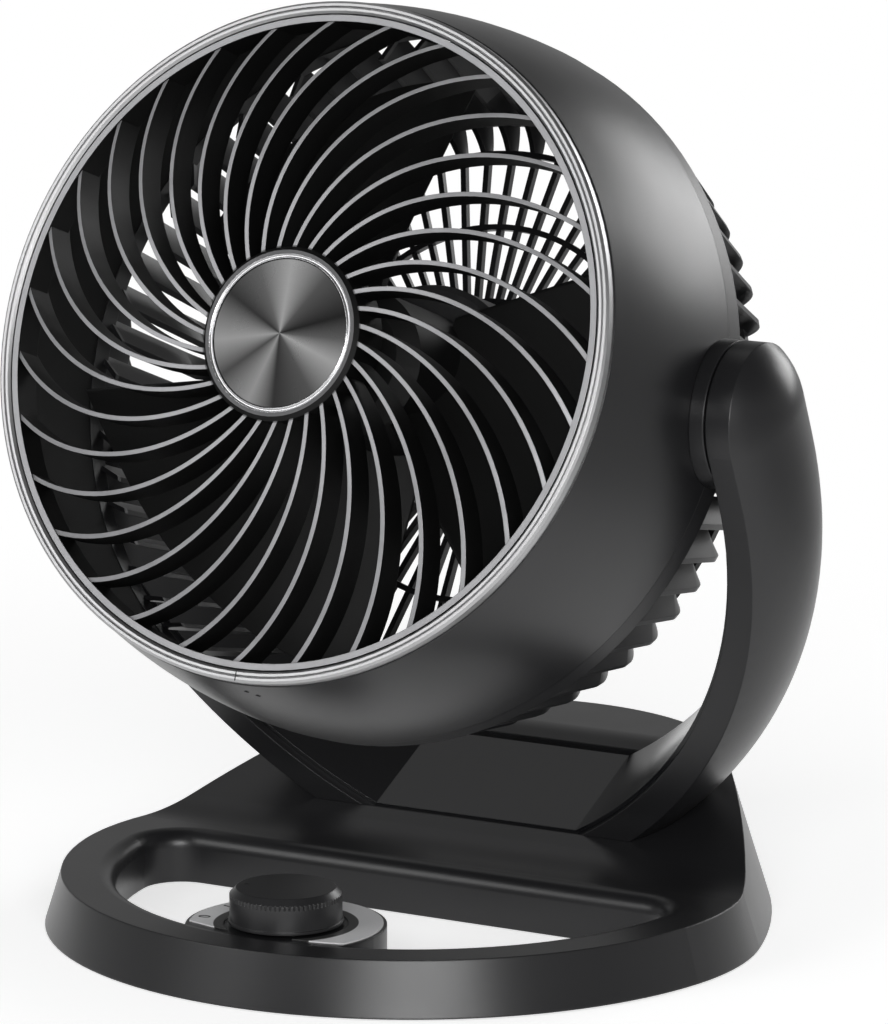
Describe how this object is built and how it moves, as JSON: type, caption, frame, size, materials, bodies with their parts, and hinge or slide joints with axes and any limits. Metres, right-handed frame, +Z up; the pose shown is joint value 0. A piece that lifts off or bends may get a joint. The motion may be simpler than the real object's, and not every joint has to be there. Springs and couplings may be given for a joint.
{
  "type": "portable fan",
  "caption": "Table fan with a round drum head behind a swirling front grille, tilting between the arms of a leaning yoke on a looped base with a front speed knob.",
  "frame": {"origin": "on the floor, under the middle of the base", "axes": "+Z up, the air blows towards -Y at the level pose, +X to the right seen from the front"},
  "size_m": [0.3004, 0.2786, 0.3241],
  "materials": {
    "body_black": "satin black",
    "liner_black": "glossy black",
    "trim_silver": "bright satin silver plating",
    "badge_metal": "dark spun face",
    "dial_grey": "silver-grey print ground",
    "motor_paint": "semi-gloss black",
    "steel": "machined",
    "rubber": "matte",
    "washer_nylon": "natural nylon",
    "bracket_zinc": "zinc plated",
    "switch_body": "brown moulding",
    "capacitor_body": "drawn can"
  },
  "bodies": {
    "base": {"base_shell": "body_black", "bottom_cover": "body_black", "rubber_feet": "rubber", "base_screws": "steel", "yoke": "body_black", "yoke_liner": "liner_black", "yoke_bracket": "bracket_zinc", "yoke_screws": "steel", "cord_gland": "rubber", "run_capacitor": "capacitor_body", "dial_plate": "dial_grey", "rotary_switch": "switch_body", "pivot_pin_left": "steel", "pivot_pin_right": "steel", "friction_washer_left": "washer_nylon", "friction_washer_right": "washer_nylon"},
    "head": {"front_shroud": "body_black", "trim_ring": "trim_silver", "front_grille": "body_black", "hub_badge": "badge_metal", "badge_ring": "trim_silver", "rear_guard": "body_black", "motor_housing": "motor_paint", "stator": "steel", "front_bearing": "steel", "rear_bearing": "steel", "motor_screws": "steel", "pivot_boss_left": "body_black", "pivot_boss_right": "body_black"},
    "rotor": {"motor_shaft": "steel", "rotor_core": "steel", "impeller": "body_black", "blade_nut": "body_black"},
    "knob": {"knob": "body_black", "switch_spindle": "steel"}
  },
  "joints": [
    {"name": "head_tilt", "type": "hinge", "parent": "base", "child": "head", "pos_m": [0, -0.0193, 0.1912], "axis": [-1, 0, 0], "range_deg": [-20, 70]},
    {"name": "fan_spin", "type": "hinge", "parent": "head", "child": "rotor", "pos_m": [0, -0.0193, 0.1912], "axis": [0, -0.9412, 0.3379], "continuous": true},
    {"name": "knob_turn", "type": "hinge", "parent": "base", "child": "knob", "pos_m": [0, -0.0965, 0.02], "axis": [0, 0, -1], "range_deg": [0, 90]}
  ]
}
